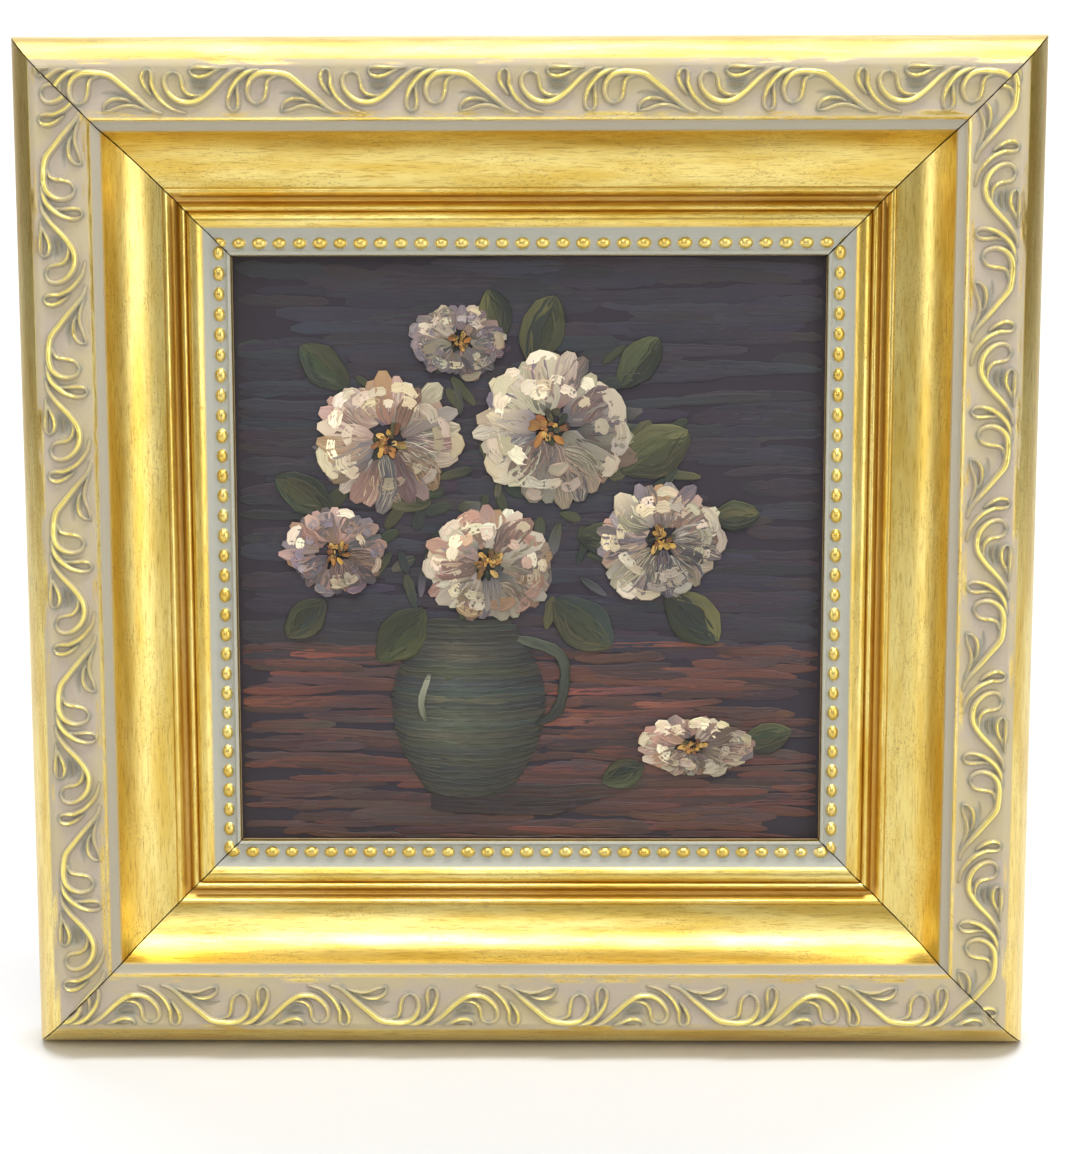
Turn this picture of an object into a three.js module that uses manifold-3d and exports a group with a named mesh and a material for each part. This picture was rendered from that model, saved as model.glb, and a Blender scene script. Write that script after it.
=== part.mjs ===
// A small square oil painting on board, in a mitred frame of carved and gilded moulding.
// Millimetres. X runs to the right, Z is up and the picture looks along -Y.
// The origin is the middle of the hanging plate's back face, where it rests on the wall.
import * as THREE from 'three';
import { mergeVertices } from 'three/addons/utils/BufferGeometryUtils.js';
import Module from 'manifold-3d';

const wasm = await Module();
wasm.setup();

// Driving dimensions
const frameSide = 246; // outer side of the square frame
const joint = 0.3; // clearance between neighbouring pieces
const boardSide = 152.4; // the six inch painting board
const boardThickness = 3.2;
const rabbetHeight = 12; // from the back of the moulding to the ledge that the board rests on
const rabbetPlay = 0.4; // room round the board's edge
const hangerBelowTop = 16; // from the frame's top to the middle of the hanging plate

// The section of the moulding, from the back of its outer side, round the front, to the rabbet.
// Each stretch ends at [inward from the outer side, height above the back]; bow is how far the
// middle of the stretch stands proud of its chord (negative where it is hollow).
const rabbetWall = (frameSide - boardSide) / 2 - rabbetPlay;
const sectionStretches = [
  { to: [0, 9.6] }, // plain outer side
  { to: [7.5, 25.4], bow: 2.3, steps: 5 }, // rounded gilt edge
  { to: [9.6, 27.3] }, // plain strip beside the carving
  { to: [21.9, 27.3] }, // ground of the scrolls, ending at a rubbed arris
  { to: [22.3, 26.6] },
  { to: [24.0, 26.0] }, // grey fillet
  { to: [35.8, 15.0], bow: -2.6, steps: 7 }, // gilt cove
  { to: [37.3, 14.8], bow: 0.5, steps: 2 }, // lip of the cove
  { to: [39.9, 14.9], bow: -1.1, steps: 3 }, // narrow gilt hollow
  { to: [41.5, 14.9], bow: 0.9, steps: 3 }, // thin reed
  { to: [45.0, 15.3], bow: 1.0, steps: 4 }, // broad reed
  { to: [46.8, 14.1] }, // grey hollow
  { to: [50.5, 14.1] }, // floor of the pearls
  { to: [51.1, 15.0] },
  { to: [51.8, 14.6] }, // sight edge
  { to: [51.8, rabbetHeight] },
  { to: [rabbetWall, rabbetHeight] }, // ledge
  { to: [rabbetWall, 0] },
];

// Running scroll: one motif, mirrored across the band and set on by half a repeat each time.
const scrollRepeat = 41.2;
const scrollCentre = 15.3; // middle of the band, inward from the outer side
const scrollGround = 27.3;
const scrollHeight = 1.2; // crests above the ground
const scrollRoot = 0.9; // how deep a stroke's foot sits in the ground

// A stroke's route is [along, across] through its bends; width and rise are at its fullest, and
// full is where along it that is. Across is positive towards the picture.
const scrollStrokes = [
  { name: 'tail and left side of the drop', width: 1.5, rise: 1, full: 0.75, steps: 4,
    route: [[5.4, -4.9], [1.5, -3.0], [-1.1, 0.6], [0, 4.6]] },
  { name: 'right side of the drop', width: 1.3, rise: 0.9, full: 0.5, steps: 2,
    route: [[0.1, -1.7], [1.0, 1.3], [0, 4.6]] },
  { name: 'outer side of the bulb and long stem', width: 2.2, rise: 1, full: 0.4, steps: 6,
    route: [[5.2, 3.1], [3.6, 0.1], [5.4, -3.3], [10.3, -4.0], [14.6, -2.1], [19.4, 1.9], [23, 4.7]] },
  { name: 'inner side of the bulb', width: 1.4, rise: 0.9, full: 0.5, steps: 3,
    route: [[5.2, 3.1], [7.6, 0.6], [8.2, -2.4], [11.5, -3.1]] },
  { name: 'leaf', width: 2.4, rise: 0.9, full: 0.4, steps: 3,
    route: [[11.1, 4.8], [12.9, 2.8], [17.5, 2.7], [23, 4.9]] },
];

// Row of pearls beside the picture
const pearlPitch = 4.83;
const pearlLength = 3.2;
const pearlWidth = 2.3;
const pearlHeight = 1.25; // above its widest place, which is sunk in the floor
const pearlLine = 48.9; // inward from the outer side
const pearlFloor = 13.9;
const pearlSides = 6;

// The four lengths are cut from one long moulding, so each starts elsewhere in its two patterns.
// Turns are quarter turns clockwise from the top, seen from the front.
const rails = [
  { name: 'rail_top', turns: 0, scrollStart: -27.1, pearlStart: 1.95 },
  { name: 'rail_right', turns: 1, scrollStart: 6.8, pearlStart: 0.36 },
  { name: 'rail_bottom', turns: 2, scrollStart: -17.5, pearlStart: -0.79 },
  { name: 'rail_left', turns: 3, scrollStart: -2.3, pearlStart: -0.11 },
];

// Hanging plate with a toothed lower edge, nailed on at its two feet
const plate = { length: 45, height: 9, thickness: 1, foot: 8, stand: 2, teeth: 7, toothDepth: 2 };

const half = frameSide / 2;
const backPlane = -(plate.thickness + plate.stand + joint); // Y of the moulding's back
const frameCentre = hangerBelowTop - half; // Z of the frame's middle

const gilt = new THREE.MeshStandardMaterial({ color: '#c79b3a', roughness: 0.35, metalness: 0.8 });
const paint = new THREE.MeshStandardMaterial({ color: '#4a3a3c', roughness: 0.5, metalness: 0 });
const steel = new THREE.MeshStandardMaterial({ color: '#b9a76a', roughness: 0.35, metalness: 1 });

// A closed geometry as a solid that can be joined and cut
function solidOf(geometry) {
  const bare = geometry.clone();
  bare.deleteAttribute('normal');
  bare.deleteAttribute('uv');
  const merged = mergeVertices(bare, 1e-4);
  return new wasm.Manifold(new wasm.Mesh({
    numProp: 3,
    vertProperties: Float32Array.from(merged.attributes.position.array),
    triVerts: Uint32Array.from(merged.index.array),
  }));
}

function geometryOf(solid) {
  const mesh = solid.getMesh();
  const geometry = new THREE.BufferGeometry();
  geometry.setAttribute('position', new THREE.Float32BufferAttribute(mesh.vertProperties, 3));
  geometry.setIndex(Array.from(mesh.triVerts));
  geometry.computeVertexNormals();
  return geometry;
}

// Points of a stretch after its start, along a parabola that stands proud of the chord by bow
function stretchPoints(start, { to: end, bow = 0, steps = 1 }) {
  const chord = new THREE.Vector2(end[0] - start[0], end[1] - start[1]);
  const proud = new THREE.Vector2(-chord.y, chord.x).normalize().multiplyScalar(bow);
  return Array.from({ length: steps }, (_, i) => {
    const t = (i + 1) / steps;
    const lift = 4 * t * (1 - t);
    return [start[0] + chord.x * t + proud.x * lift, start[1] + chord.y * t + proud.y * lift];
  });
}

function sectionShape() {
  const points = [[0, 0]];
  for (const stretch of sectionStretches) {
    points.push(...stretchPoints(points.at(-1), stretch));
  }
  return new THREE.Shape(points.map(([inward, height]) => new THREE.Vector2(half - inward, height)));
}

// In the pieces below x runs along the rail, y outward from the frame's middle and z to the front.
function plainMoulding() {
  const geometry = new THREE.ExtrudeGeometry(sectionShape(), { depth: frameSide, bevelEnabled: false });
  const turn = new THREE.Matrix4().makeBasis(
    new THREE.Vector3(0, 1, 0), new THREE.Vector3(0, 0, 1), new THREE.Vector3(1, 0, 0));
  return solidOf(geometry.applyMatrix4(turn).translate(-half, 0, 0));
}

// Wedge between the two mitre cuts
function mitreWedge() {
  const cut = joint / Math.SQRT2;
  const near = 50;
  const far = half + 5;
  const shape = new THREE.Shape([
    new THREE.Vector2(-near + cut, near), new THREE.Vector2(near - cut, near),
    new THREE.Vector2(far - cut, far), new THREE.Vector2(-far + cut, far),
  ]);
  const deep = 60;
  const geometry = new THREE.ExtrudeGeometry(shape, { depth: deep, bevelEnabled: false });
  return solidOf(geometry.translate(0, 0, -deep / 4));
}

// How full a stroke is at t: nothing at its ends, whole at its fullest place
function fullness(t, full) {
  const side = t < full ? t / full : (1 - t) / (1 - full);
  return Math.sin(side * Math.PI / 2) ** 0.7;
}

// A raised stroke with a ridge along its middle, tapering to a point at each end
function strokeSolid(stroke, place) {
  const points = stroke.route.map(([u, v]) => place(u, v));
  const curve = new THREE.CatmullRomCurve3(points.map(([x, y]) => new THREE.Vector3(x, y, 0)), false, 'centripetal');
  const foot = scrollGround - scrollRoot;
  const positions = [];
  for (let i = 0; i <= stroke.steps; i += 1) {
    const t = i / stroke.steps;
    const centre = curve.getPointAt(t);
    const isEnd = i === 0 || i === stroke.steps;
    if (isEnd) {
      positions.push(centre.x, centre.y, foot);
    } else {
      const along = curve.getTangentAt(t);
      const size = fullness(t, stroke.full);
      const reach = stroke.width / 2 * size * (1 + scrollRoot / scrollHeight);
      const crest = scrollGround + scrollHeight * stroke.rise * (0.4 + 0.6 * size);
      positions.push(centre.x - along.y * reach, centre.y + along.x * reach, foot);
      positions.push(centre.x, centre.y, crest);
      positions.push(centre.x + along.y * reach, centre.y - along.x * reach, foot);
    }
  }
  const geometry = new THREE.BufferGeometry();
  geometry.setAttribute('position', new THREE.Float32BufferAttribute(positions, 3));
  geometry.setIndex(strokeFaces(stroke.steps - 1));
  return solidOf(geometry);
}

// Faces over rings of left foot, crest and right foot, closed by a point at each end
function strokeFaces(rings) {
  const faces = [];
  const ring = (i, corner) => 1 + 3 * i + corner % 3;
  const last = 1 + 3 * rings;
  for (let corner = 0; corner < 3; corner += 1) {
    faces.push(0, ring(0, corner + 1), ring(0, corner));
    for (let i = 0; i < rings - 1; i += 1) {
      faces.push(ring(i, corner), ring(i, corner + 1), ring(i + 1, corner));
      faces.push(ring(i, corner + 1), ring(i + 1, corner + 1), ring(i + 1, corner));
    }
    faces.push(last, ring(rings - 1, corner), ring(rings - 1, corner + 1));
  }
  return faces;
}

// All the strokes of one rail's running scroll
function scrollSolids(start) {
  const halfRepeat = scrollRepeat / 2;
  const first = Math.floor((-half - start) / halfRepeat) - 1;
  const last = Math.ceil((half - start) / halfRepeat);
  const solids = [];
  for (let unit = first; unit <= last; unit += 1) {
    const side = unit % 2 === 0 ? 1 : -1;
    const place = (u, v) => [start + unit * halfRepeat + u, half - scrollCentre - side * v];
    solids.push(...scrollStrokes.map((stroke) => strokeSolid(stroke, place)));
  }
  return solids;
}

function pearlSolids(start) {
  const count = Math.floor(half / pearlPitch);
  const solids = [];
  for (let i = -count; i <= count; i += 1) {
    const pearl = new THREE.SphereGeometry(1, pearlSides, 4).rotateX(Math.PI / 2);
    pearl.scale(pearlLength / 2, pearlWidth / 2, pearlHeight);
    pearl.translate(start + i * pearlPitch, half - pearlLine, pearlFloor);
    solids.push(solidOf(pearl));
  }
  return solids;
}

// One mitred length of moulding with its scrolls and pearls
function railMesh({ name, turns, scrollStart, pearlStart }) {
  const trimmings = [...scrollSolids(scrollStart), ...pearlSolids(pearlStart)];
  const length = trimmings.reduce((whole, trimming) => whole.add(trimming), plainMoulding());
  const geometry = geometryOf(length.intersect(mitreWedge())).rotateX(Math.PI / 2);
  const mesh = new THREE.Mesh(geometry, gilt);
  mesh.name = name;
  mesh.position.set(0, backPlane, frameCentre);
  mesh.rotation.y = turns * Math.PI / 2;
  return mesh;
}

// The painted board, resting against the ledges of the four rails
function boardMesh() {
  const mesh = new THREE.Mesh(new THREE.BoxGeometry(boardSide, boardThickness, boardSide), paint);
  mesh.name = 'painting_board';
  mesh.position.set(0, backPlane - rabbetHeight + joint + boardThickness / 2, frameCentre);
  return mesh;
}

// Plate bent out from its two feet, so that a nail's head fits behind the teeth
function hangerMesh() {
  const { length, height, thickness, foot, stand, teeth, toothDepth } = plate;
  const end = length / 2;
  const bend = end - foot;
  const top = bend - stand;
  const outline = [
    [-end, -thickness - stand], [-bend - thickness / 2, -thickness - stand], [-top, -thickness],
    [top, -thickness], [bend + thickness / 2, -thickness - stand], [end, -thickness - stand],
    [end, -stand], [bend, -stand], [top - thickness / 2, 0],
    [-top + thickness / 2, 0], [-bend, -stand], [-end, -stand],
  ];
  const shape = new THREE.Shape(outline.map(([x, y]) => new THREE.Vector2(x, y)));
  const bent = new THREE.ExtrudeGeometry(shape, { depth: height, bevelEnabled: false });
  let solid = solidOf(bent.translate(0, 0, -height / 2));
  const pitch = 2 * (top - thickness) / (teeth + 1);
  for (let i = 0; i < teeth; i += 1) {
    const middle = (i - (teeth - 1) / 2) * pitch;
    const notch = new THREE.Shape([
      new THREE.Vector2(middle - pitch / 2.2, -1), new THREE.Vector2(middle + pitch / 2.2, -1),
      new THREE.Vector2(middle, toothDepth),
    ]);
    const cutter = new THREE.ExtrudeGeometry(notch, { depth: 3 * thickness, bevelEnabled: false });
    cutter.rotateX(Math.PI / 2).translate(0, thickness, -height / 2);
    solid = solid.subtract(solidOf(cutter));
  }
  const mesh = new THREE.Mesh(geometryOf(solid), steel);
  mesh.name = 'hanger_plate';
  return mesh;
}

const painting = new THREE.Group();
painting.add(...rails.map(railMesh), boardMesh(), hangerMesh());

export default painting;
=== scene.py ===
import math

import bpy
import numpy as np
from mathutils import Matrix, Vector


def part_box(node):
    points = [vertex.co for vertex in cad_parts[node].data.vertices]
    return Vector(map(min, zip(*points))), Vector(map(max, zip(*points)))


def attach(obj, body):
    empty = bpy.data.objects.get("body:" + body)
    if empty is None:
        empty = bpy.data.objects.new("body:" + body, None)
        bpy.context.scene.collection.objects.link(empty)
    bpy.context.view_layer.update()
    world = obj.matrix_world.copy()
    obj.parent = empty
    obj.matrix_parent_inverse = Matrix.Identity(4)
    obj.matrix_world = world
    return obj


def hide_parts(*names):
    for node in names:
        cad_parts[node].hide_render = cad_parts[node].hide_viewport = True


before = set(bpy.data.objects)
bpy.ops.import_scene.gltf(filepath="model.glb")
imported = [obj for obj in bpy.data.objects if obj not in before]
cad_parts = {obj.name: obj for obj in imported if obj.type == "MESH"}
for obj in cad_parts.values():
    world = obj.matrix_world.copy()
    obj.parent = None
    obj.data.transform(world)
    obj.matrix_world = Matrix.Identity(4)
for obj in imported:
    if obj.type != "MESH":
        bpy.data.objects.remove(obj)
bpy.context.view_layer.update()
mm = 0.001

# where the frame is, from its rails
topRailLow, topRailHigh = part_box("rail_top")
rightRailLow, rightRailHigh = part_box("rail_right")
halfSide = rightRailHigh.x / mm
backPlane = topRailHigh.y
frameCentre = Vector((0, backPlane, topRailHigh.z - halfSide * mm))
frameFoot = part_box("rail_bottom")[0].z


# ---- helpers for modelling and for finishes

def onlySelect(piece):
    bpy.ops.object.select_all(action="DESELECT")
    piece.select_set(True)
    bpy.context.view_layer.objects.active = piece


def applyModifier(piece, kind, **settings):
    onlySelect(piece)
    modifier = piece.modifiers.new(kind.title(), kind)
    for name, value in settings.items():
        setattr(modifier, name, value)
    bpy.ops.object.modifier_apply(modifier=modifier.name)


def readPoints(mesh):
    flat = np.empty(len(mesh.vertices) * 3)
    mesh.vertices.foreach_get("co", flat)
    return flat.reshape(-1, 3)


def writePoints(mesh, points):
    mesh.vertices.foreach_set("co", points.astype(np.float32).ravel())
    mesh.update()


def storeValues(mesh, name, values):
    kind = "FLOAT_VECTOR" if values.ndim == 2 else "FLOAT"
    field = "vector" if values.ndim == 2 else "value"
    attribute = mesh.attributes.new(name, kind, "POINT")
    attribute.data.foreach_set(field, values.astype(np.float32).ravel())


def smoothStep(low, high, value):
    t = np.clip((value - low) / (high - low), 0, 1)
    return t * t * (3 - 2 * t)


def linear(red, green, blue):
    # a colour as a screen shows it, 0 to 255, as the shader wants it
    channels = [value / 255 for value in (red, green, blue)]
    return [c / 12.92 if c <= 0.04045 else ((c + 0.055) / 1.055) ** 2.4 for c in channels] + [1]


class Wire:
    # a node's output that takes part in sums: each operator adds one Math node
    def __init__(self, finish, socket):
        self.finish = finish
        self.socket = socket

    def maths(self, operation, first, second):
        return self.finish.node("ShaderNodeMath", {"operation": operation}, {0: first, 1: second})

    def __add__(self, other):
        return self.maths("ADD", self, other)

    def __radd__(self, other):
        return self.maths("ADD", other, self)

    def __sub__(self, other):
        return self.maths("SUBTRACT", self, other)

    def __rsub__(self, other):
        return self.maths("SUBTRACT", other, self)

    def __mul__(self, other):
        return self.maths("MULTIPLY", self, other)

    def most(self, other):
        return self.maths("MAXIMUM", self, other)

    def between(self, low, high):
        # 0 below low, 1 above high, and a soft step from one to the other
        return self.finish.node("ShaderNodeMapRange", {"interpolation_type": "SMOOTHSTEP"},
                                {0: self, 1: low, 2: high})


class Finish:
    # one material: its nodes are added by node(), its shader is set by wear()
    def __init__(self, name):
        self.material = bpy.data.materials.new(name)
        self.material.use_nodes = True
        self.nodes = self.material.node_tree.nodes
        self.shader = self.nodes["Principled BSDF"]

    def feed(self, socket, value):
        if isinstance(value, Wire):
            self.material.node_tree.links.new(value.socket, socket)
        else:
            socket.default_value = value

    def node(self, kind, settings, inputs, output=0):
        made = self.nodes.new(kind)
        for name, value in settings.items():
            setattr(made, name, value)
        for key, value in inputs.items():
            self.feed(made.inputs[key], value)
        return Wire(self, made.outputs[output])

    def attribute(self, name, output="Fac"):
        return self.node("ShaderNodeAttribute", {"attribute_name": name}, {}, output)

    def mix(self, share, first, second):
        return self.node("ShaderNodeMix", {"data_type": "RGBA"}, {0: share, 6: first, 7: second}, 2)

    def noise(self, where, scale, detail=3, rough=0.6):
        return self.node("ShaderNodeTexNoise", {}, {"Vector": where, "Scale": scale, "Detail": detail,
                                                    "Roughness": rough})

    def stretched(self, where, scale):
        return self.node("ShaderNodeVectorMath", {"operation": "MULTIPLY"}, {0: where, 1: scale})

    def bump(self, height, depth, strength=1.0):
        return self.node("ShaderNodeBump", {}, {"Strength": strength, "Distance": depth, "Height": height})

    def wear(self, **sockets):
        for name, value in sockets.items():
            self.feed(self.shader.inputs[name.replace("_", " ")], value)
        return self.material


# ---- camera, light and floor

studio = {
    "lens": 57.46, "sensor": 36, "nearest": 0.01,
    "ahead": 0.448, "rise": 0.0417, "aside": 0.006,   # of the camera, from the frame's middle
    "pitch": 83.89, "roll": 0.06, "yaw": 0.44,
    "widestPlane": 10.7,   # of the frame's front outline, in front of its back, in millimetres
    # each lamp: place, what it points at, width, height, power
    "lamps": {
        "ceiling_window": ((0.1, -0.55, 1.4), "frame", 1.3, 0.5, 21),
        "front_soft": ((-0.4, -1.9, 1.0), "frame", 1.2, 0.7, 9),
        "left_strip": ((-1.1, -0.5, 0.1), "frame", 0.25, 1.3, 4),
        "right_screen": ((0.95, -0.75, 0.1), "frame", 0.8, 1.4, 9),
        "backdrop_wash": ((0, 0.9, 1.9), (0, 2.4, 0.3), 2.4, 0.8, 60),
    },
    "worldLow": (0.38, 0.30, 0.22, 1), "worldHigh": (0.75, 0.77, 0.80, 1),
    "worldTop": 0.6, "worldStrength": 0.33,
    "floorSize": 7.0, "floorColour": (0.8, 0.8, 0.8, 1), "floorRoughness": 0.9,
    "sweepAt": 2.6, "sweepHeight": 3.0, "sweepRadius": 1.2, "sweepSteps": 24,
}


def placeCamera():
    bpy.context.scene.view_settings.view_transform = "Standard"
    camera = bpy.data.objects.new("camera", bpy.data.cameras.new("camera"))
    bpy.context.scene.collection.objects.link(camera)
    camera.data.lens = studio["lens"]
    camera.data.sensor_width = studio["sensor"]
    camera.data.clip_start = studio["nearest"]
    camera.location = (studio["aside"], backPlane - studio["widestPlane"] * mm - studio["ahead"],
                       frameCentre.z + studio["rise"])
    camera.rotation_euler = [math.radians(studio[name]) for name in ("pitch", "roll", "yaw")]
    bpy.context.scene.camera = camera


def areaLight(name, place, aim, width, height, power):
    light = bpy.data.lights.new(name, "AREA")
    light.shape = "RECTANGLE"
    light.size = width
    light.size_y = height
    light.energy = power
    lamp = bpy.data.objects.new(name, light)
    bpy.context.scene.collection.objects.link(lamp)
    lamp.location = place
    target = frameCentre if aim == "frame" else Vector(aim)
    lamp.rotation_euler = (target - Vector(place)).to_track_quat("-Z", "Y").to_euler()


def lightStage():
    for name, settings in studio["lamps"].items():
        areaLight(name, *settings)
    world = bpy.data.worlds.new("room")
    world.use_nodes = True
    bpy.context.scene.world = world
    nodes = world.node_tree.nodes
    links = world.node_tree.links
    coords = nodes.new("ShaderNodeTexCoord")
    split = nodes.new("ShaderNodeSeparateXYZ")
    ramp = nodes.new("ShaderNodeValToRGB")
    ramp.color_ramp.elements[0].color = studio["worldLow"]
    ramp.color_ramp.elements[1].position = studio["worldTop"]
    ramp.color_ramp.elements[1].color = studio["worldHigh"]
    links.new(coords.outputs["Generated"], split.inputs[0])
    links.new(split.outputs["Z"], ramp.inputs[0])
    links.new(ramp.outputs[0], nodes["Background"].inputs["Color"])
    nodes["Background"].inputs["Strength"].default_value = studio["worldStrength"]


def layFloor():
    # one sheet that runs back level and curves up into the backdrop
    size = studio["floorSize"]
    bpy.ops.mesh.primitive_plane_add(size=size, location=(0, studio["sweepAt"] - size / 2, frameFoot))
    floor = bpy.context.object
    floor.name = "floor"
    bpy.ops.object.transform_apply(location=True, rotation=True, scale=True)
    bpy.ops.object.mode_set(mode="EDIT")
    bpy.ops.mesh.select_mode(type="EDGE")
    bpy.ops.mesh.select_all(action="DESELECT")
    bpy.ops.object.mode_set(mode="OBJECT")
    for edge in floor.data.edges:
        edge.select = all(floor.data.vertices[i].co.y > studio["sweepAt"] - 0.01 for i in edge.vertices)
    bpy.ops.object.mode_set(mode="EDIT")
    bpy.ops.mesh.extrude_region_move(TRANSFORM_OT_translate={"value": (0, 0, studio["sweepHeight"])})
    bpy.ops.object.mode_set(mode="OBJECT")
    applyModifier(floor, "BEVEL", width=studio["sweepRadius"], segments=studio["sweepSteps"])
    bpy.ops.object.shade_smooth()
    paper = Finish("studio_paper")
    material = paper.wear(Base_Color=studio["floorColour"], Roughness=studio["floorRoughness"])
    floor.data.materials.append(material)


placeCamera()
lightStage()
layFloor()
print("camera, light and floor are set")


# ---- the four rails

moulding = {
    "stations": 770,       # grid lines along the uncut length
    "joint": 0.3, "crease": 42, "patternStep": 400,
    # gold lies on the outer side, from the cove to the last reed and on the sight edge; the rabbet is bare
    "outerGoldEnd": 7.6, "coveStart": 24.0, "reedsEnd": 45.1, "sightStart": 51.75,
    "rabbetStart": 46.3, "rabbetHeight": 12.01,
    # each stretch: inward from the outer side, height above the back, bow of its middle, steps
    "section": [
        (0, 9.6, 0, 3), (7.5, 25.4, 1.5, 10), (9.6, 27.15, 0.1, 3),
        (21.5, 27.05, -0.35, 42), (21.95, 27.1, 0.05, 2), (22.3, 26.5, 0, 1), (24.0, 26.0, -0.1, 3),
        (35.8, 15.0, -2.6, 14), (37.3, 14.8, 0.5, 6), (39.9, 14.9, -1.2, 7), (41.5, 14.9, 0.85, 8),
        (45.0, 15.3, 0.9, 9), (46.9, 14.1, -0.2, 3), (50.5, 14.1, 0, 13), (51.1, 15.0, 0, 2),
        (51.8, 14.6, 0.15, 3), (51.8, 12.0, 0, 2), (46.4, 12.0, 0, 1), (46.4, 0, 0, 2),
    ],
    # quarter turns from the top, where the scrolls start, their middle line, where the pearls start
    "rails": [
        ("rail_top", 0, -26.6, 15.3, 3.3), ("rail_right", 1, 7.0, 15.2, 0.66),
        ("rail_bottom", 2, -17.4, 14.3, 0.83), ("rail_left", 3, -1.9, 15.3, -0.66),
    ],
}

scroll = {
    "repeat": 41.0, "height": 1.35, "halo": 1.3,
    "bandStart": 9.0, "bandEnd": 21.6, "bandAbove": 20, "fadeOuter": 0.5, "fadeInner": 0.4,
    "slimmest": 0.42, "swell": 0.50, "lowest": 0.4, "taper": 0.6, "roundness": 1.2,
    # each stroke: half width and height at its fullest, where that is, and its bends (along, across)
    "strokes": [
        # long drop that hangs inward, with its tail
        (0.95, 1.00, 0.60, [(-0.2, 4.7), (-1.1, 3.8), (-1.3, 2.4), (-1.0, 0.9), (-0.4, -0.6),
                            (0.6, -2.0), (1.9, -3.3), (3.6, -4.2), (6.2, -4.8)]),
        (0.75, 0.85, 0.40, [(-0.2, 4.7), (0.8, 4.0), (1.1, 2.6), (1.0, 1.1), (0.9, -0.3),
                            (1.2, -1.7)]),
        # bulb and stem that run inward
        (1.15, 1.00, 0.45, [(5.3, 3.0), (3.9, 2.2), (3.2, 0.4), (3.5, -1.6), (4.7, -3.2),
                            (6.7, -4.0), (9.7, -4.0), (12.2, -3.6), (13.6, -2.8), (15.2, -1.5),
                            (17.2, 0.1), (19.2, 1.8), (21.0, 3.4), (22.7, 4.5), (24.4, 5.0)]),
        (0.80, 0.90, 0.50, [(5.3, 3.0), (6.9, 2.0), (7.5, 0.3), (7.7, -1.4), (8.3, -2.6),
                            (10.0, -3.2)]),
        # leaf under the stem
        (0.75, 0.85, 0.45, [(11.0, 4.6), (11.2, 3.3), (12.2, 2.3), (13.7, 1.8), (15.9, 1.9),
                            (17.6, 2.6)]),
        (0.70, 0.75, 0.50, [(11.0, 4.6), (13.0, 4.3), (15.2, 3.5), (17.2, 3.3), (19.2, 3.7),
                            (21.6, 4.7)]),
        (0.60, -0.35, 0.50, [(10.6, 0.6), (13.0, 0.4), (15.6, 1.0)]),
        # short drop that points outward, with its long tail
        (0.80, 0.95, 0.40, [(21.2, -4.9), (20.3, -4.2), (20.0, -2.9), (20.4, -1.5), (21.2, -0.2),
                            (22.2, 1.0)]),
        (0.85, 0.95, 0.35, [(21.2, -4.9), (22.1, -4.2), (22.3, -2.8), (22.3, -1.5), (22.8, -0.2),
                            (23.5, 1.1), (24.6, 2.4), (25.9, 3.5), (27.5, 4.4), (30.0, 5.0)]),
        # bulb and stem that run outward
        (1.10, 1.00, 0.50, [(27.2, -4.3), (25.7, -3.7), (25.1, -2.5), (25.3, -1.0), (26.0, 0.3),
                            (27.3, 1.6), (28.9, 2.4), (31.0, 2.6), (32.7, 2.2), (34.2, 1.3),
                            (35.7, 0.1), (37.2, -1.3), (38.7, -2.7), (40.2, -3.8), (41.6, -4.6),
                            (43.6, -5.0)]),
        (0.75, 0.90, 0.50, [(27.2, -4.3), (28.6, -3.6), (29.1, -2.4), (29.3, -1.1), (29.8, 0.0),
                            (31.0, 0.9), (32.8, 1.1), (34.6, 0.6)]),
        # leaf over the stem
        (0.70, 0.85, 0.40, [(30.9, -4.5), (31.8, -5.2), (34.2, -5.2), (36.7, -5.1), (39.4, -5.1)]),
        (0.80, 0.95, 0.40, [(30.9, -4.5), (31.7, -3.5), (33.2, -3.1), (34.8, -3.4), (36.3, -4.1),
                            (37.8, -4.7)]),
        (0.50, -0.35, 0.50, [(30.9, -2.3), (33.0, -2.1), (35.6, -2.4)]),
        (0.45, 0.30, 0.50, [(31.4, -1.4), (33.2, -1.2), (35.2, -1.4)]),
        (0.45, -0.30, 0.50, [(31.6, -0.6), (33.0, -0.4), (34.6, -0.7)]),
    ],
}

pearls = {
    "pitch": 4.83, "line": 48.9, "halfLength": 1.7, "halfWidth": 1.35, "height": 1.15,
    "channelStart": 46.8, "channelEnd": 50.6, "channelAbove": 13,
    "unevenness": 0.05, "unevenTurn": 2.4, "fullness": 0.65,
}


def stretchPoints(start, stretch):
    inward, height, bow, steps = stretch
    chord = np.array([inward - start[0], height - start[1]])
    proud = np.array([-chord[1], chord[0]]) / np.linalg.norm(chord)
    points = []
    for step in range(1, steps + 1):
        t = step / steps
        points.append(tuple(np.array(start) + chord * t + proud * bow * 4 * t * (1 - t)))
    return points


def sectionPoints():
    points = [(0, 0)]
    for stretch in moulding["section"]:
        points += stretchPoints(points[-1], stretch)
    return points


def smoothRoute(bends, spacing=0.22):
    # a curve through the bends, with even short steps
    ends = [2 * np.array(bends[0]) - bends[1], *map(np.array, bends), 2 * np.array(bends[-1]) - bends[-2]]
    route = []
    for before, start, end, after in zip(ends, ends[1:], ends[2:], ends[3:]):
        steps = max(2, int(np.linalg.norm(end - start) / spacing))
        for t in np.arange(steps) / steps:
            bow = (2 * before - 5 * start + 4 * end - after) * t * t
            sway = (3 * start - before - 3 * end + after) * t ** 3
            route.append(0.5 * (2 * start + (end - before) * t + bow + sway))
    return np.array(route + [ends[-2]])


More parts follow.
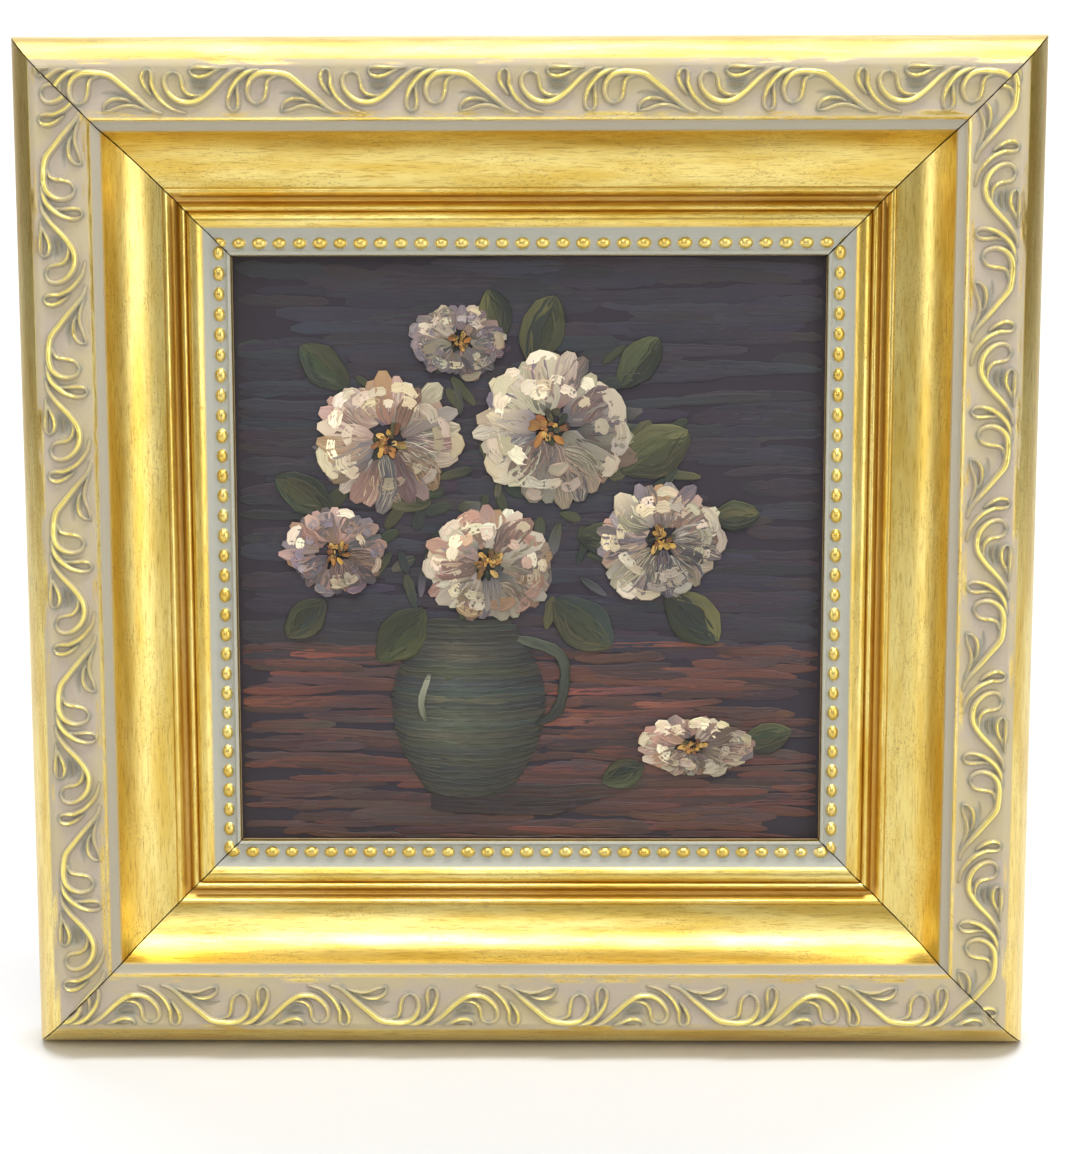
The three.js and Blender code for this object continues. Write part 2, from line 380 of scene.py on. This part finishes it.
def strokeRelief(along, across, stroke):
    # height of one stroke at many points, and how close they are to it: a rounded ridge that tapers
    halfWidth, height, full, bends = stroke
    route = smoothRoute(bends)
    t = np.linspace(0, 1, len(route))
    fullness = np.sin(np.where(t < full, t / full, (1 - t) / (1 - full)) * math.pi / 2) ** scroll["taper"]
    relief = np.zeros(len(along))
    close = np.zeros(len(along))
    for (u, v), size in zip(route, fullness):
        reach = halfWidth * (scroll["slimmest"] + scroll["swell"] * size)
        near = np.abs(along - u) < reach + scroll["halo"]
        gap = np.hypot(along[near] - u, across[near] - v)
        ridge = np.clip(1 - (gap / reach) ** 2, 0, 1) ** scroll["roundness"]
        ridge *= scroll["lowest"] + (1 - scroll["lowest"]) * size
        relief[near] = np.maximum(relief[near], ridge)
        close[near] = np.maximum(close[near], np.clip(1 - (gap - reach) / scroll["halo"], 0, 1))
    return height * relief, close


def scrollRelief(along, v, start):
    # the motif repeats along the rail, and its first and last strokes reach into its neighbours
    u = np.mod(along - start, scroll["repeat"])
    raised = np.zeros(len(along))
    sunk = np.zeros(len(along))
    crowd = np.zeros(len(along))
    for shift in (-scroll["repeat"], 0, scroll["repeat"]):
        for stroke in scroll["strokes"]:
            relief, close = strokeRelief(u + shift, v, stroke)
            raised = np.maximum(raised, relief)
            sunk = np.minimum(sunk, relief)
            crowd += close * close
    return raised + sunk * (raised <= 0), np.clip(crowd, 0, 2) / 2


def pearlRelief(along, across, start):
    place = (along - start) / pearls["pitch"]
    number = np.round(place)
    size = 1 + pearls["unevenness"] * np.sin(number * pearls["unevenTurn"] + start)
    u = (place - number) * pearls["pitch"] / (pearls["halfLength"] * size)
    v = (across - pearls["line"]) / (pearls["halfWidth"] * size)
    return np.clip(1 - u * u - v * v, 0, 1) ** pearls["fullness"]


def carveRail(mesh, turns, scrollStart, scrollLine, pearlStart):
    # raises the scrolls and pearls from the plain moulding and marks what the finish needs
    points = readPoints(mesh)
    along = points[:, 0] / mm
    inward = halfSide - points[:, 2] / mm
    height = -points[:, 1] / mm
    crest = np.zeros(len(points))
    crowd = np.zeros(len(points))
    pearl = np.zeros(len(points))
    bandStart = scroll["bandStart"]
    bandEnd = scroll["bandEnd"]
    band = (height > scroll["bandAbove"]) & (inward > bandStart) & (inward < bandEnd)
    crest[band], crowd[band] = scrollRelief(along[band], inward[band] - scrollLine, scrollStart)
    crest *= smoothStep(bandStart, bandStart + scroll["fadeOuter"], inward)
    crest *= 1 - smoothStep(bandEnd - scroll["fadeInner"], bandEnd, inward)
    channel = (inward > pearls["channelStart"]) & (inward < pearls["channelEnd"])
    channel &= height > pearls["channelAbove"]
    pearl[channel] = pearlRelief(along[channel], inward[channel], pearlStart)
    points[:, 1] -= (crest * scroll["height"] + pearl * pearls["height"]) * mm
    writePoints(mesh, points)
    wood = (height < 0.01) | ((inward > moulding["rabbetStart"]) & (height < moulding["rabbetHeight"]))
    middle = (inward > moulding["coveStart"]) & (inward < moulding["reedsEnd"])
    gilt = ((inward < moulding["outerGoldEnd"]) | middle | (inward > moulding["sightStart"])) & ~wood
    storeValues(mesh, "railPoint", np.stack([along + moulding["patternStep"] * turns, inward, height], 1))
    storeValues(mesh, "gilt", gilt.astype(float))
    storeValues(mesh, "wood", wood.astype(float))
    storeValues(mesh, "crest", crest)
    storeValues(mesh, "crowd", crowd)
    storeValues(mesh, "pearl", pearl)


def cutMitres(rail):
    cut = moulding["joint"] / math.sqrt(2) * mm
    for side in (-1, 1):
        bpy.ops.object.mode_set(mode="EDIT")
        bpy.ops.mesh.select_all(action="SELECT")
        corner = (side * (halfSide * mm - cut), 0, halfSide * mm)
        bpy.ops.mesh.bisect(plane_co=corner, plane_no=(side, 0, -1), use_fill=True, clear_outer=True)
        bpy.ops.object.mode_set(mode="OBJECT")


def makeRail(name, turns, scrollStart, scrollLine, pearlStart):
    # the section is drawn as a ring of points, drawn out along the rail, carved and mitred
    points = sectionPoints()
    bpy.ops.object.select_all(action="DESELECT")
    bpy.ops.mesh.primitive_circle_add(vertices=len(points), radius=0.01, fill_type="NOTHING")
    rail = bpy.context.object
    rail.name = name + "_gilt"
    ring = [(-halfSide * mm, -height * mm, (halfSide - inward) * mm) for inward, height in points]
    writePoints(rail.data, np.array(ring))
    stations = moulding["stations"]
    applyModifier(rail, "SCREW", angle=0, axis="X", screw_offset=2 * halfSide * mm, steps=stations,
                  render_steps=stations, use_normal_calculate=True)
    carveRail(rail.data, turns, scrollStart, scrollLine, pearlStart)
    cutMitres(rail)
    bpy.ops.object.mode_set(mode="EDIT")
    bpy.ops.mesh.select_all(action="SELECT")
    bpy.ops.mesh.normals_make_consistent(inside=False)
    bpy.ops.object.mode_set(mode="OBJECT")
    bpy.ops.object.shade_smooth_by_angle(angle=math.radians(moulding["crease"]))
    rail.location = frameCentre
    rail.rotation_euler.y = turns * math.pi / 2
    bpy.ops.object.transform_apply(location=True, rotation=True, scale=True)
    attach(rail, "root")
    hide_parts(name)
    return rail


rails = [makeRail(*entry) for entry in moulding["rails"]]
print("rails are carved and mitred:", [len(rail.data.polygons) for rail in rails])


gilding = {
    # colours as a screen shows them
    "leafDeep": (220, 188, 92), "leafPale": (238, 218, 138), "leafDrawn": (160, 120, 50),
    # the colour that darkens the groove is painted shade
    # the crest colour is a painted highlight on the raised carving
    "fleck": (122, 88, 36), "grooveShade": (168, 112, 36), "crest": (242, 224, 130),
    "wash": (184, 170, 134), "washCool": (176, 163, 146), "washDrawn": (192, 178, 138),
    # the colours for the recesses and for the flanks of the carving are painted shade
    "hollowShade": (142, 143, 132), "edge": (132, 112, 62), "fillet": (166, 158, 138), "channel": (168, 168, 156),
    "wood": (204, 170, 122), "grain": (166, 124, 80),
    # each pattern: how fine it is along, across and through the rail, its detail and its roughness
    "drawn": ((0.22, 2.4, 2.4), 5, 0.65), "speck": ((1.1, 2.6, 2.6), 4, 0.75),
    "broad": ((0.035, 0.22, 0.22), 3, 0.5), "cloud": ((0.06, 0.10, 0.10), 2, 0.5),
    # strips across the rail: over what distance each comes in and goes out
    "rim": ((20.9, 21.5), (21.95, 22.15)), "innerSmear": ((19.4, 20.6), (20.9, 21.2)),
    "filletStrip": ((22.1, 22.3), (23.9, 24.1)), "groove": ((37.4, 37.8), (39.3, 39.8)),
    "line": ((41.3, 41.5), (41.7, 41.9)), "outerSmear": (8.8, 9.9), "channelFrom": (45.0, 45.2),
    "washRoughness": 0.62, "goldSmoothness": 0.34, "speckRoughness": 0.12,
    "bumpDepth": 0.00008, "bumpStrength": 0.7,
}


def gildingColour(name):
    return linear(*gilding[name])


def gildingPattern(finish, where, name):
    fineness, detail, rough = gilding[name]
    return finish.noise(finish.stretched(where, fineness), 1.0, detail, rough)


def strip(across, name):
    rise, fall = gilding[name]
    return across.between(*rise) * (1 - across.between(*fall))


def leafGold(finish, across, crest, drawn, broad, flecks):
    # paler where it is thin, drawn out along the rail, flecked with brown
    leaf = finish.mix(broad.between(0.3, 0.7), gildingColour("leafDeep"), gildingColour("leafPale"))
    leaf = finish.mix(drawn.between(0.48, 0.72) * 0.6, leaf, gildingColour("leafDrawn"))
    leaf = finish.mix(flecks * 0.6, leaf, gildingColour("fleck"))
    # painted shade darkens the gold in the groove and in the thin line beside the last reed
    leaf = finish.mix(strip(across, "groove").most(strip(across, "line")) * 0.7, leaf, gildingColour("grooveShade"))
    # painted highlight: the rubbed gold on the crests of the carving turns paler
    return finish.mix(crest.between(0.5, 0.9), leaf, gildingColour("crest"))


def creamWash(finish, across, crest, crowd, drawn, cloud):
    # warm cream, with painted shade: bluish grey in the recesses between the raised work and brown along its
    # flanks
    wash = finish.mix(cloud.between(0.35, 0.65), gildingColour("wash"), gildingColour("washCool"))
    wash = finish.mix(drawn.between(0.5, 0.75) * 0.4, wash, gildingColour("washDrawn"))
    # painted shade: bluish grey where the carved strokes crowd together
    wash = finish.mix(crowd.between(0.25, 0.85) * 0.7, wash, gildingColour("hollowShade"))
    # painted shade: a brown band along the flanks beside the raised carving
    edge = crest.between(0.02, 0.12) * (1 - crest.between(0.2, 0.35))
    wash = finish.mix(edge * 0.45, wash, gildingColour("edge"))
    wash = finish.mix(strip(across, "filletStrip"), wash, gildingColour("fillet"))
    return finish.mix(across.between(*gilding["channelFrom"]), wash, gildingColour("channel"))


def mouldingFinish():
    finish = Finish("gilt_moulding")
    where = finish.attribute("railPoint", "Vector")
    gilt, wood, crest, crowd, pearl = map(finish.attribute, ("gilt", "wood", "crest", "crowd", "pearl"))
    patterns = [gildingPattern(finish, where, name) for name in ("drawn", "speck", "broad", "cloud")]
    drawn, speck, broad, cloud = patterns
    across = finish.node("ShaderNodeSeparateXYZ", {}, {0: where}, "Y")
    # rubbed gold shows on the crests, on the pearls and along the edges of the carved band
    ridge = crest + (drawn - 0.5) * 0.4
    rubbed = ridge.between(0.58, 0.86).most(ridge.between(0.34, 0.52) * 0.3)
    rim = strip(across, "rim") * drawn.between(0.32, 0.5)
    smear = strip(across, "innerSmear").most(1 - across.between(*gilding["outerSmear"]))
    smear = smear * (cloud + drawn * 0.5).between(0.76, 0.9)
    gold = gilt.most(rubbed).most(pearl.between(0.04, 0.25)).most(rim).most(smear)
    flecks = speck.between(0.54, 0.66) * cloud.between(0.42, 0.60)
    leaf = leafGold(finish, across, crest, drawn, broad, flecks)
    wash = creamWash(finish, across, crest, crowd, drawn, cloud)
    bare = finish.mix(drawn.between(0.35, 0.65), gildingColour("wood"), gildingColour("grain"))
    colour = finish.mix(wood, finish.mix(gold, wash, leaf), bare)
    metal = gold * (1 - wood) * (1 - flecks * 0.5)
    rough = gilding["washRoughness"] - gold * gilding["goldSmoothness"] + speck * gilding["speckRoughness"]
    relief = finish.bump(drawn * 0.6 + speck * 0.4, gilding["bumpDepth"], gilding["bumpStrength"])
    return finish.wear(Base_Color=colour, Metallic=metal, Roughness=rough, Normal=relief)


mouldingMaterial = mouldingFinish()
for rail in rails:
    rail.data.materials.append(mouldingMaterial)


# ---- the painting

picture = {
    "seed": 11, "reach": 70.9, "strokeReach": 70.5, "crease": 50,
    "columns": [-1.0, -0.82, -0.4, 0.02, 0.42, 0.8, 1.0],   # across a stroke, from edge to edge
    "ridges": [0.0, 0.95, 0.5, 0.72, 0.5, 1.0, 0.0],        # paint pushed up at the sides of the brush
    "violet": [(44, 37, 46), (39, 36, 48), (48, 39, 44), (37, 33, 40), (46, 44, 54)],
    "teal": [(38, 48, 50), (42, 50, 46)],
    "russet": [(80, 48, 40), (64, 42, 38), (88, 52, 42), (56, 40, 42), (70, 54, 52)],
    "salmon": [(128, 68, 52), (142, 82, 64), (108, 58, 46)],
    "cream": [(214, 202, 170), (226, 216, 188), (200, 184, 150), (208, 190, 166)],
    "blush": [(186, 148, 128), (170, 128, 112), (198, 164, 146), (172, 136, 98)],
    "lilac": [(126, 116, 126), (110, 104, 110), (140, 130, 134), (96, 90, 84)],
    "ochre": [(186, 142, 68), (160, 110, 52), (132, 84, 44), (196, 160, 88)],
    "leaf": [(62, 66, 40), (80, 82, 50), (44, 52, 38), (96, 92, 56), (46, 56, 50)],
    "glaze": [(34, 36, 32), (46, 44, 34), (28, 28, 30), (40, 46, 44)],
    "sheen": [(92, 96, 78), (112, 108, 84), (78, 86, 82)],
    # each bloom: place, reach, petals, turn, its two main paints, how far it is tipped away
    "blooms": [
        ((-47, 0), 13, 5, 0.4, ("lilac", "blush"), 0.92), ((32, 3), 16, 6, 0.9, ("cream", "lilac"), 0.95),
        ((-34, 27), 17, 5, 0.2, ("cream", "blush"), 1.0), ((-17, 51), 12, 5, 1.6, ("lilac", "cream"), 0.8),
        ((-10, -3), 17, 6, 0.5, ("blush", "cream"), 0.85), ((5, 30), 20, 5, 1.1, ("cream", "cream"), 1.0),
        ((40, -48), 14, 6, 0.2, ("cream", "blush"), 0.55),
    ],
    # each leaf: place, direction, length
    "leaves": [
        (-48, 10, 2.6, 16), (-26, -14, 4.0, 17), (22, 20, 0.5, 19), (-44, 40, 2.4, 15), (34, -10, -0.8, 17),
        (0, 46, 1.2, 17), (-50, -12, 3.9, 13), (6, -12, 5.6, 18), (22, 40, 0.9, 15), (-6, 52, 1.9, 12),
        (52, -48, 0.3, 13), (28, -53, 3.5, 11), (12, 4, -0.2, 14), (-24, 12, 2.9, 14), (44, 8, 0.1, 12),
    ],
    "jug": {"x": -15, "z": -37, "belly": 19, "tall": 40},
    # the wall and the table: top, bottom, rows, touches in a row, shortest and longest, thinnest and widest
    "wall": (70, -25, 60, 5, (16, 46), (2.2, 4.2)), "table": (-24, -70.5, 38, 7, (14, 42), (1.3, 2.6)),
    "tableEdge": -24, "tealShare": 0.12,
    "glowAt": -34, "glowSpread": 9, "glowShare": 0.30, "glowLeast": 0.02,
    "foliage": {"count": 110, "middle": (-7, 19), "spread": (42, 33)},
    "fans": 8, "dabs": 6, "stamens": 24, "lightFrom": 2.2,
    # how far out each layer starts from the board
    "layers": {"ground": 0.02, "shadow": 0.22, "jug": 0.26, "foliage": 0.28, "handle": 0.3, "leaf": 0.36,
               "bloom": 0.44, "heart": 0.75},
}


class Canvas:
    # gathers the brush strokes as one mesh; places are in millimetres from the picture's middle
    def __init__(self, seed):
        self.random = np.random.default_rng(seed)
        self.points = []
        self.faces = []
        self.colours = []
        self.streaks = []
        self.bristles = []
        self.total = 0

    def pick(self, *names):
        shades = [shade for name in names for shade in picture[name]]
        shade = np.array(shades[self.random.integers(len(shades))], float)
        return np.clip(shade * self.random.uniform(0.9, 1.1) + self.random.normal(0, 2.5, 3), 5, 250)

    def stroke(self, bends, width, body, colour, streak, layer, last=None):
        # one touch of a loaded brush, which may change from its first colour to a last one
        route = smoothRoute(bends, 1.2) if len(bends) > 2 else np.array(bends, float)
        lengths = np.concatenate([[0], np.cumsum(np.linalg.norm(np.diff(route, axis=0), axis=1))])
        steps = int(np.clip(lengths[-1] / 2.0, 4, 14))
        t = np.linspace(0, 1, steps + 1)
        centre = np.stack([np.interp(t * lengths[-1], lengths, route[:, k]) for k in (0, 1)], 1)
        tangent = np.gradient(centre, axis=0)
        tangent /= np.linalg.norm(tangent, axis=1)[:, None] + 1e-9
        side = np.stack([-tangent[:, 1], tangent[:, 0]], 1)
        ends = (1 - np.abs(2 * t - 1) ** 7) ** 0.5
        half = width / 2 * np.maximum(ends, 0.35) * (1 + self.random.normal(0, 0.10, len(t)))
        load = body * (0.6 + 0.55 * t) * np.maximum(ends, 0.15)
        columns = np.array(picture["columns"])
        across = len(columns)
        rough = self.random.uniform(0.6, 1.4, (len(t), across))
        plane = centre[:, None, :] + side[:, None, :] * (half[:, None] * columns[None, :])[..., None]
        plane = np.clip(plane, -picture["reach"], picture["reach"])
        height = layer + load[:, None] * np.array(picture["ridges"])[None, :] * rough
        first = self.total
        self.points.append(np.concatenate([plane, height[..., None]], 2).reshape(-1, 3))
        self.total += len(t) * across
        for i in range(steps):
            row = first + i * across
            for j in range(across - 1):
                self.faces.append((row + j, row + j + 1, row + across + j + 1, row + across + j))
            self.faces.append((row, row + across, row + 2 * across - 1, row + across - 1))
        self.faces.append(tuple(first + j for j in range(across - 1, -1, -1)))
        self.faces.append(tuple(first + steps * across + j for j in range(across)))
        begin = np.array(linear(*colour))
        end = begin if last is None else np.array(linear(*last))
        self.colours.append(np.repeat(begin + (end - begin) * t[:, None], across, axis=0))
        self.streaks.append(np.tile(linear(*streak), (len(t) * across, 1)))
        offset = self.random.uniform(0, 400)
        where = np.zeros((len(t), across, 3))
        where[..., 0] = offset + t[:, None] * lengths[-1]
        where[..., 1] = offset + columns[None, :] * width / 2
        self.bristles.append(where.reshape(-1, 3))


def paintLevel(canvas, top, bottom, rows, touches, lengths, widths, choose):
    # brushed level from side to side, row under row
    for z in np.linspace(top, bottom, rows):
        for touch in range(touches):
            length = canvas.random.uniform(*lengths)
            x = canvas.random.uniform(-70 - length / 2, 70 - length / 2)
            edge = picture["strokeReach"]
            length = min(x + length, edge) - max(x, -edge)
            x = max(x, -edge)
            start = z + canvas.random.uniform(-1.3, 1.3)
            slope = canvas.random.normal(0, 0.03) * length
            bend = canvas.random.normal(0, 0.5)
            colour, streak = choose(canvas, x + length / 2, start)
            bends = [(x, start), (x + length / 2, start + slope / 2 + bend), (x + length, start + slope)]
            width = canvas.random.uniform(*widths)
            body = canvas.random.uniform(0.06, 0.17)
            last = canvas.pick("violet" if z > picture["tableEdge"] else "russet")
            layer = picture["layers"]["ground"] + 0.015 * touch
            canvas.stroke(bends, width, body, colour, streak, layer, last)


def wallPaint(canvas, x, z):
    teal = x < 0 and z > 10 and canvas.random.random() < picture["tealShare"]
    return canvas.pick("teal" if teal else "violet"), canvas.pick("violet", "teal")


def tablePaint(canvas, x, z):
    near = math.exp(-((z - picture["glowAt"]) / picture["glowSpread"]) ** 2)
    besideJug = abs(x - picture["jug"]["x"]) > 22
    glow = canvas.random.random() < picture["glowShare"] * near * besideJug + picture["glowLeast"]
    return canvas.pick("salmon" if glow else "russet"), canvas.pick("russet", "violet")


def paintJug(canvas, x, z, belly, tall):
    # round stoneware jug, lit from the left, brushed round its belly row under row
    layer = picture["layers"]["jug"]
    rows = 30
    for row in range(rows):
        share = row / (rows - 1)
        level = z + tall * (0.5 - share)
        reach = belly * (0.45 + 0.55 * math.sin(math.pi * (0.94 - 0.86 * share)) ** 0.9)
        droop = 2.2 * (0.3 + share)
        glow = math.sin(math.pi * share) ** 0.7
        lit = canvas.pick("sheen") * (0.5 + 0.4 * glow)
        dark = canvas.pick("glaze")
        meet = x - reach * canvas.random.uniform(0.1, 0.5)
        low = level - droop * 0.97
        leftHalf = [(x - reach, level), (x - reach * 0.75, level - droop * 0.65), (meet + 2, low)]
        rightHalf = [(meet - 2, low), (x + reach * 0.4, level - droop * 0.85), (x + reach, level)]
        canvas.stroke(leftHalf, 2.4, 0.25, dark, canvas.pick("glaze"), layer, lit)
        canvas.stroke(rightHalf, 2.4, 0.25, lit, canvas.pick("glaze"), layer, dark)
    shine = [(x - belly * 0.5, z + tall * 0.18), (x - belly * 0.62, z), (x - belly * 0.56, z - tall * 0.12)]
    layer = picture["layers"]["leaf"]
    canvas.stroke(shine, 1.6, 0.4, (150, 150, 128), canvas.pick("sheen"), layer, (96, 98, 80))
    handle = [(x + belly * 0.6, z + tall * 0.40), (x + belly * 1.2, z + tall * 0.28),
              (x + belly * 1.16, z - tall * 0.04), (x + belly * 0.84, z - tall * 0.14)]
    layer = picture["layers"]["handle"]
    canvas.stroke(handle, 2.6, 0.4, canvas.pick("sheen") * 0.8, canvas.pick("glaze"), layer,
                  canvas.pick("glaze"))
    layer = picture["layers"]["shadow"]
    for k in range(6):
        level = z - tall * 0.52 - 1.1 * k
        tip = (x + belly * (2.3 - 0.2 * k), level)
        shadow = [(x - belly * 0.5, level), (x + belly * 0.9, level - 1), tip]
        canvas.stroke(shadow, 2.4, 0.2, (34, 26, 28), canvas.pick("russet") * 0.7, layer,
                      canvas.pick("russet") * 0.8)


def paintLeaf(canvas, x, z, angle, length):
    ahead = np.array([math.cos(angle), math.sin(angle)])
    side = np.array([-ahead[1], ahead[0]])
    root = np.array([x, z])
    for offset in (-0.9, 0.9, -0.35, 0.35):
        bow = offset * length * canvas.random.uniform(0.2, 0.3)
        bends = [root, root + ahead * length * 0.5 + side * bow, root + ahead * length * 0.98]
        shade = canvas.pick("leaf") * (1.0 if offset > 0 else 0.7)
        canvas.stroke([tuple(p) for p in bends], length * 0.2, 0.3, shade * 0.7, canvas.pick("leaf", "teal"),
                      picture["layers"]["leaf"], shade)


def paintFoliage(canvas):
    # loose dark leaves that fill the bunch behind the blooms
    middle = picture["foliage"]["middle"]
    spread = picture["foliage"]["spread"]
    for _ in range(picture["foliage"]["count"]):
        angle = canvas.random.uniform(0, 2 * math.pi)
        out = canvas.random.uniform(0, 1) ** 0.6
        x = middle[0] + spread[0] * out * math.cos(angle)
        z = middle[1] + spread[1] * out * math.sin(angle)
        turn = angle + canvas.random.normal(0, 0.7)
        length = canvas.random.uniform(4, 9)
        ahead = np.array([math.cos(turn), math.sin(turn)]) * length
        width = canvas.random.uniform(1.8, 3.4)
        body = canvas.random.uniform(0.12, 0.26)
        canvas.stroke([(x, z), (x + ahead[0], z + ahead[1])], width, body, canvas.pick("leaf") * 0.7,
                      canvas.pick("teal", "leaf"), picture["layers"]["foliage"],
                      canvas.pick("leaf", "leaf", "lilac") * 0.8)


def paintBloom(canvas, middle, reach, petals, turn, paints, tipped):
    # open single flower: fans of thick strokes from the heart outward, lit from the upper left
    main, second = paints

    def place(angle, distance):
        return (middle[0] + math.cos(angle) * distance, middle[1] + tipped * math.sin(angle) * distance)

    def petalFan(facing, spread, length, lit, base):
        for k in canvas.random.permutation(picture["fans"]):
            offset = -1 + 2 * k / (picture["fans"] - 1)
            tip = length * (1 - 0.14 * offset * offset + canvas.random.normal(0, 0.05))
            start = length * canvas.random.uniform(0.16, 0.5)
            names = (main, second) if canvas.random.random() < 0.75 else ("blush", "lilac")
            curl = facing + offset * spread * 1.1 + canvas.random.normal(0, 0.05)
            edge = 1 - 0.25 * (abs(offset) > 0.75)
            bends = [place(facing + offset * spread * 0.7, start), place(curl, (start + tip) / 2),
                     place(facing + offset * spread, tip)]
            width = reach * canvas.random.uniform(0.22, 0.32)
            body = canvas.random.uniform(0.24, 0.45)
            inner = canvas.pick(second, "lilac", "blush") * lit * 0.75
            streak = canvas.pick("blush", "lilac", main)
            outer = canvas.pick(*names) * lit * edge
            canvas.stroke(bends, width, body, inner, streak, base + 0.012 * k, outer)

    def petalDabs(facing, spread, length, lit, base):
        for _ in range(picture["dabs"]):
            angle = facing + canvas.random.uniform(-0.8, 0.8) * spread
            out = length * canvas.random.uniform(0.5, 0.94)
            bend = canvas.random.uniform(0.12, 0.3)
            bends = [place(angle - bend, out * 0.97), place(angle, out * 1.03),
                     place(angle + bend, out * 0.96)]
            width = reach * canvas.random.uniform(0.12, 0.2)
            body = canvas.random.uniform(0.3, 0.5)
            bright = canvas.pick(main, "cream") * min(1.05, lit + 0.1)
            canvas.stroke(bends, width, body, bright, canvas.pick(second, "blush"), base + 0.16)

    for number, petal in enumerate(canvas.random.permutation(petals)):
        facing = turn + 2 * math.pi * petal / petals + canvas.random.normal(0, 0.08)
        length = reach * canvas.random.uniform(0.86, 1.06)
        spread = math.pi / petals * 1.15
        lit = 0.80 + 0.22 * math.cos(facing - picture["lightFrom"])
        base = picture["layers"]["bloom"] + 0.07 * (number % 3)
        petalFan(facing, spread, length, lit, base)
        petalDabs(facing, spread, length, lit, base)
    for k in range(picture["stamens"]):
        angle = canvas.random.uniform(0, 2 * math.pi)
        out = reach * canvas.random.uniform(0.04, 0.30)
        shade = canvas.pick("leaf", "ochre") * 0.7 if k < 9 else canvas.pick("ochre")
        canvas.stroke([place(angle, out * 0.4), place(angle + 0.3, out)], reach * 0.075, 0.35, shade,
                      canvas.pick("ochre", "leaf"), picture["layers"]["heart"])


def paintPicture():
    # a low jug of open single blooms left of the middle, and a fallen bloom on the table to the right
    canvas = Canvas(picture["seed"])
    paintLevel(canvas, *picture["wall"], wallPaint)
    paintLevel(canvas, *picture["table"], tablePaint)
    paintJug(canvas, **picture["jug"])
    paintFoliage(canvas)
    for leaf in picture["leaves"]:
        paintLeaf(canvas, *leaf)
    for bloom in picture["blooms"]:
        paintBloom(canvas, *bloom)
    return canvas


def makePainting(front):
    canvas = paintPicture()
    points = np.concatenate(canvas.points)
    places = np.stack([points[:, 0] * mm, front - points[:, 2] * mm, frameCentre.z + points[:, 1] * mm], 1)
    mesh = bpy.data.meshes.new("paint")
    mesh.from_pydata(places.tolist(), [], canvas.faces)
    for name, values in (("paintColour", canvas.colours), ("streakColour", canvas.streaks)):
        attribute = mesh.color_attributes.new(name, "FLOAT_COLOR", "POINT")
        attribute.data.foreach_set("color", np.concatenate(values).astype(np.float32).ravel())
    storeValues(mesh, "bristle", np.concatenate(canvas.bristles))
    paint = bpy.data.objects.new("paint_strokes", mesh)
    bpy.context.scene.collection.objects.link(paint)
    onlySelect(paint)
    bpy.ops.object.mode_set(mode="EDIT")
    bpy.ops.mesh.select_all(action="SELECT")
    bpy.ops.mesh.normals_make_consistent(inside=False)
    bpy.ops.object.mode_set(mode="OBJECT")
    bpy.ops.object.shade_smooth_by_angle(angle=math.radians(picture["crease"]))
    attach(paint, "root")
    print("the painting has", len(canvas.points), "brush strokes")
    return paint


def paintFinish():
    finish = Finish("oil_paint")
    where = finish.attribute("bristle", "Vector")
    hairs = finish.noise(finish.stretched(where, (0.12, 3.2, 1)), 1.0, 4, 0.7)
    streaky = hairs.between(0.48, 0.62) * 0.55
    paint = finish.attribute("paintColour", "Color")
    colour = finish.mix(streaky, paint, finish.attribute("streakColour", "Color"))
    relief = finish.bump(hairs, 0.00025, 0.8)
    return finish.wear(Base_Color=colour, Roughness=0.62 - hairs * 0.3, Normal=relief)


# ---- the board under the paint, and the hanger

def makeBoard():
    low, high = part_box("painting_board")
    bpy.ops.mesh.primitive_cube_add(size=1, location=(low + high) / 2)
    board = bpy.context.object
    board.name = "painting_board_panel"
    board.scale = high - low
    bpy.ops.object.transform_apply(location=True, rotation=True, scale=True)
    applyModifier(board, "BEVEL", width=0.0004, segments=2)
    points = readPoints(board.data)
    storeValues(board.data, "primed", (points[:, 1] < low.y + 0.0006).astype(float))
    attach(board, "root")
    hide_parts("painting_board")
    return board


def boardFinish():
    finish = Finish("primed_hardboard")
    place = finish.node("ShaderNodeTexCoord", {}, {}, "Object")
    fibre = finish.noise(finish.stretched(place, (900, 900, 900)), 1.0, 4, 0.7)
    brown = finish.mix(fibre.between(0.35, 0.65), linear(120, 84, 54), linear(150, 110, 74))
    colour = finish.mix(finish.attribute("primed"), brown, linear(42, 36, 44))
    return finish.wear(Base_Color=colour, Roughness=0.75, Normal=finish.bump(fibre, 0.0001, 0.5))


def hangerFinish():
    finish = Finish("hanger_steel")
    place = finish.node("ShaderNodeTexCoord", {}, {}, "Object")
    rolled = finish.noise(finish.stretched(place, (60, 900, 900)), 1.0, 3, 0.6)
    colour = finish.mix(rolled, linear(150, 140, 112), linear(190, 180, 150))
    return finish.wear(Base_Color=colour, Metallic=1.0, Roughness=0.28 + rolled * 0.25)


painting = makePainting(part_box("painting_board")[0].y)
painting.data.materials.append(paintFinish())
board = makeBoard()
board.data.materials.append(boardFinish())
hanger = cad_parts["hanger_plate"]
hanger.data.materials.clear()
hanger.data.materials.append(hangerFinish())
print("the painting, its board and the hanger are made")
